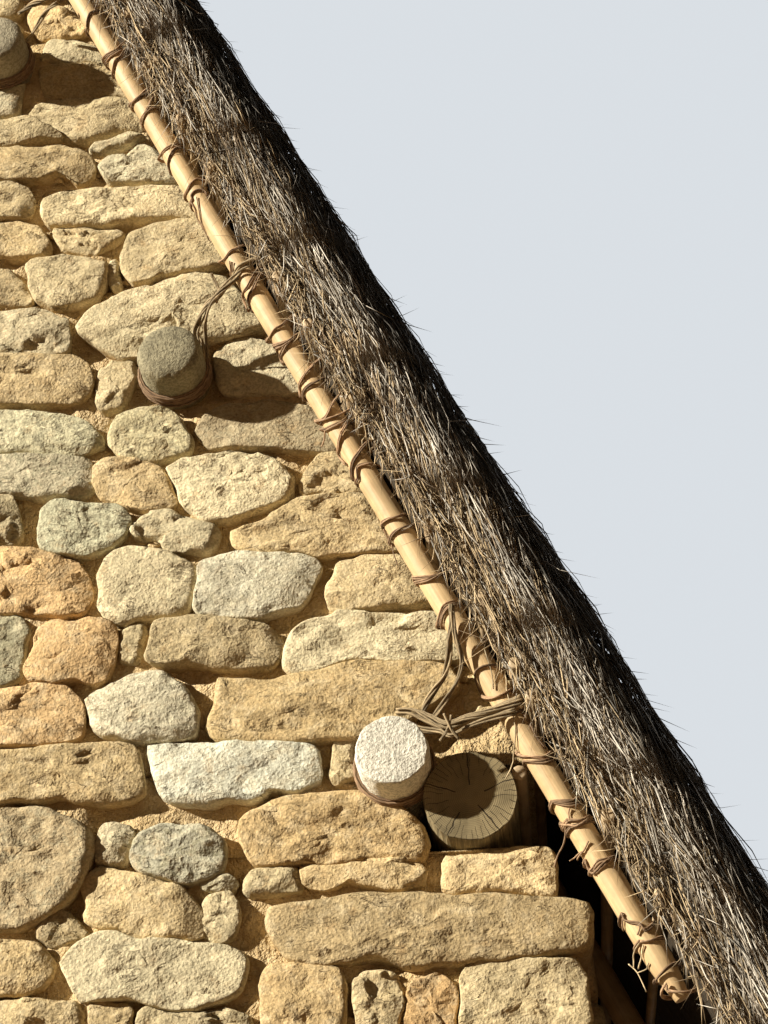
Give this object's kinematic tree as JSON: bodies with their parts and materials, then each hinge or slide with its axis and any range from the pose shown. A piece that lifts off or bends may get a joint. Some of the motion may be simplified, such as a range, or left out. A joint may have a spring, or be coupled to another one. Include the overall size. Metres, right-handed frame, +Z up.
{
  "type": "inca stone house",
  "caption": "Fieldstone house with battered walls, steep gables with stone pegs, and a grass thatch roof lashed to poles.",
  "frame": {"origin": "on the ground, at the middle of the house", "axes": "+Z up, +Y along the ridge from the front gable to the back one, +X to the side with the doorway"},
  "size_m": [5.2658, 6.44, 7.69],
  "materials": {
    "masonry": "rough fieldstone in mud mortar",
    "peg_stone": "rough",
    "lintel_stone": "rough",
    "log": "weathered",
    "peeled_pole": "peeled, matte",
    "thatch": "dry bunch grass",
    "rope": "twisted grass rope"
  },
  "bodies": {
    "root": {"back_gable_wall": "masonry", "back_left_peg_1": "peg_stone", "back_left_peg_1_tie": "rope", "back_left_peg_2": "peg_stone", "back_left_peg_2_tie": "rope", "back_left_peg_3": "peg_stone", "back_left_peg_3_tie": "rope", "back_left_verge_pole": "peeled_pole", "back_right_peg_1": "peg_stone", "back_right_peg_1_tie": "rope", "back_right_peg_2": "peg_stone", "back_right_peg_2_tie": "rope", "back_right_peg_3": "peg_stone", "back_right_peg_3_tie": "rope", "back_right_verge_pole": "peeled_pole", "door_lintel": "lintel_stone", "front_gable_wall": "masonry", "front_left_peg_1": "peg_stone", "front_left_peg_1_tie": "rope", "front_left_peg_2": "peg_stone", "front_left_peg_2_tie": "rope", "front_left_peg_3": "peg_stone", "front_left_peg_3_tie": "rope", "front_left_verge_pole": "peeled_pole", "front_right_peg_1": "peg_stone", "front_right_peg_1_tie": "rope", "front_right_peg_2": "peg_stone", "front_right_peg_2_tie": "rope", "front_right_peg_3": "peg_stone", "front_right_peg_3_tie": "rope", "front_right_verge_pole": "peeled_pole", "left_eave_pole": "peeled_pole", "left_rafters_and_battens": "peeled_pole", "left_side_wall": "masonry", "left_thatch": "thatch", "left_wall_plate": "log", "ridge_cap": "thatch", "ridge_pole": "log", "right_eave_pole": "peeled_pole", "right_rafters_and_battens": "peeled_pole", "right_side_wall_back": "masonry", "right_side_wall_front": "masonry", "right_thatch": "thatch", "right_wall_plate": "log", "wall_over_door": "masonry"}
  },
  "joints": []
}
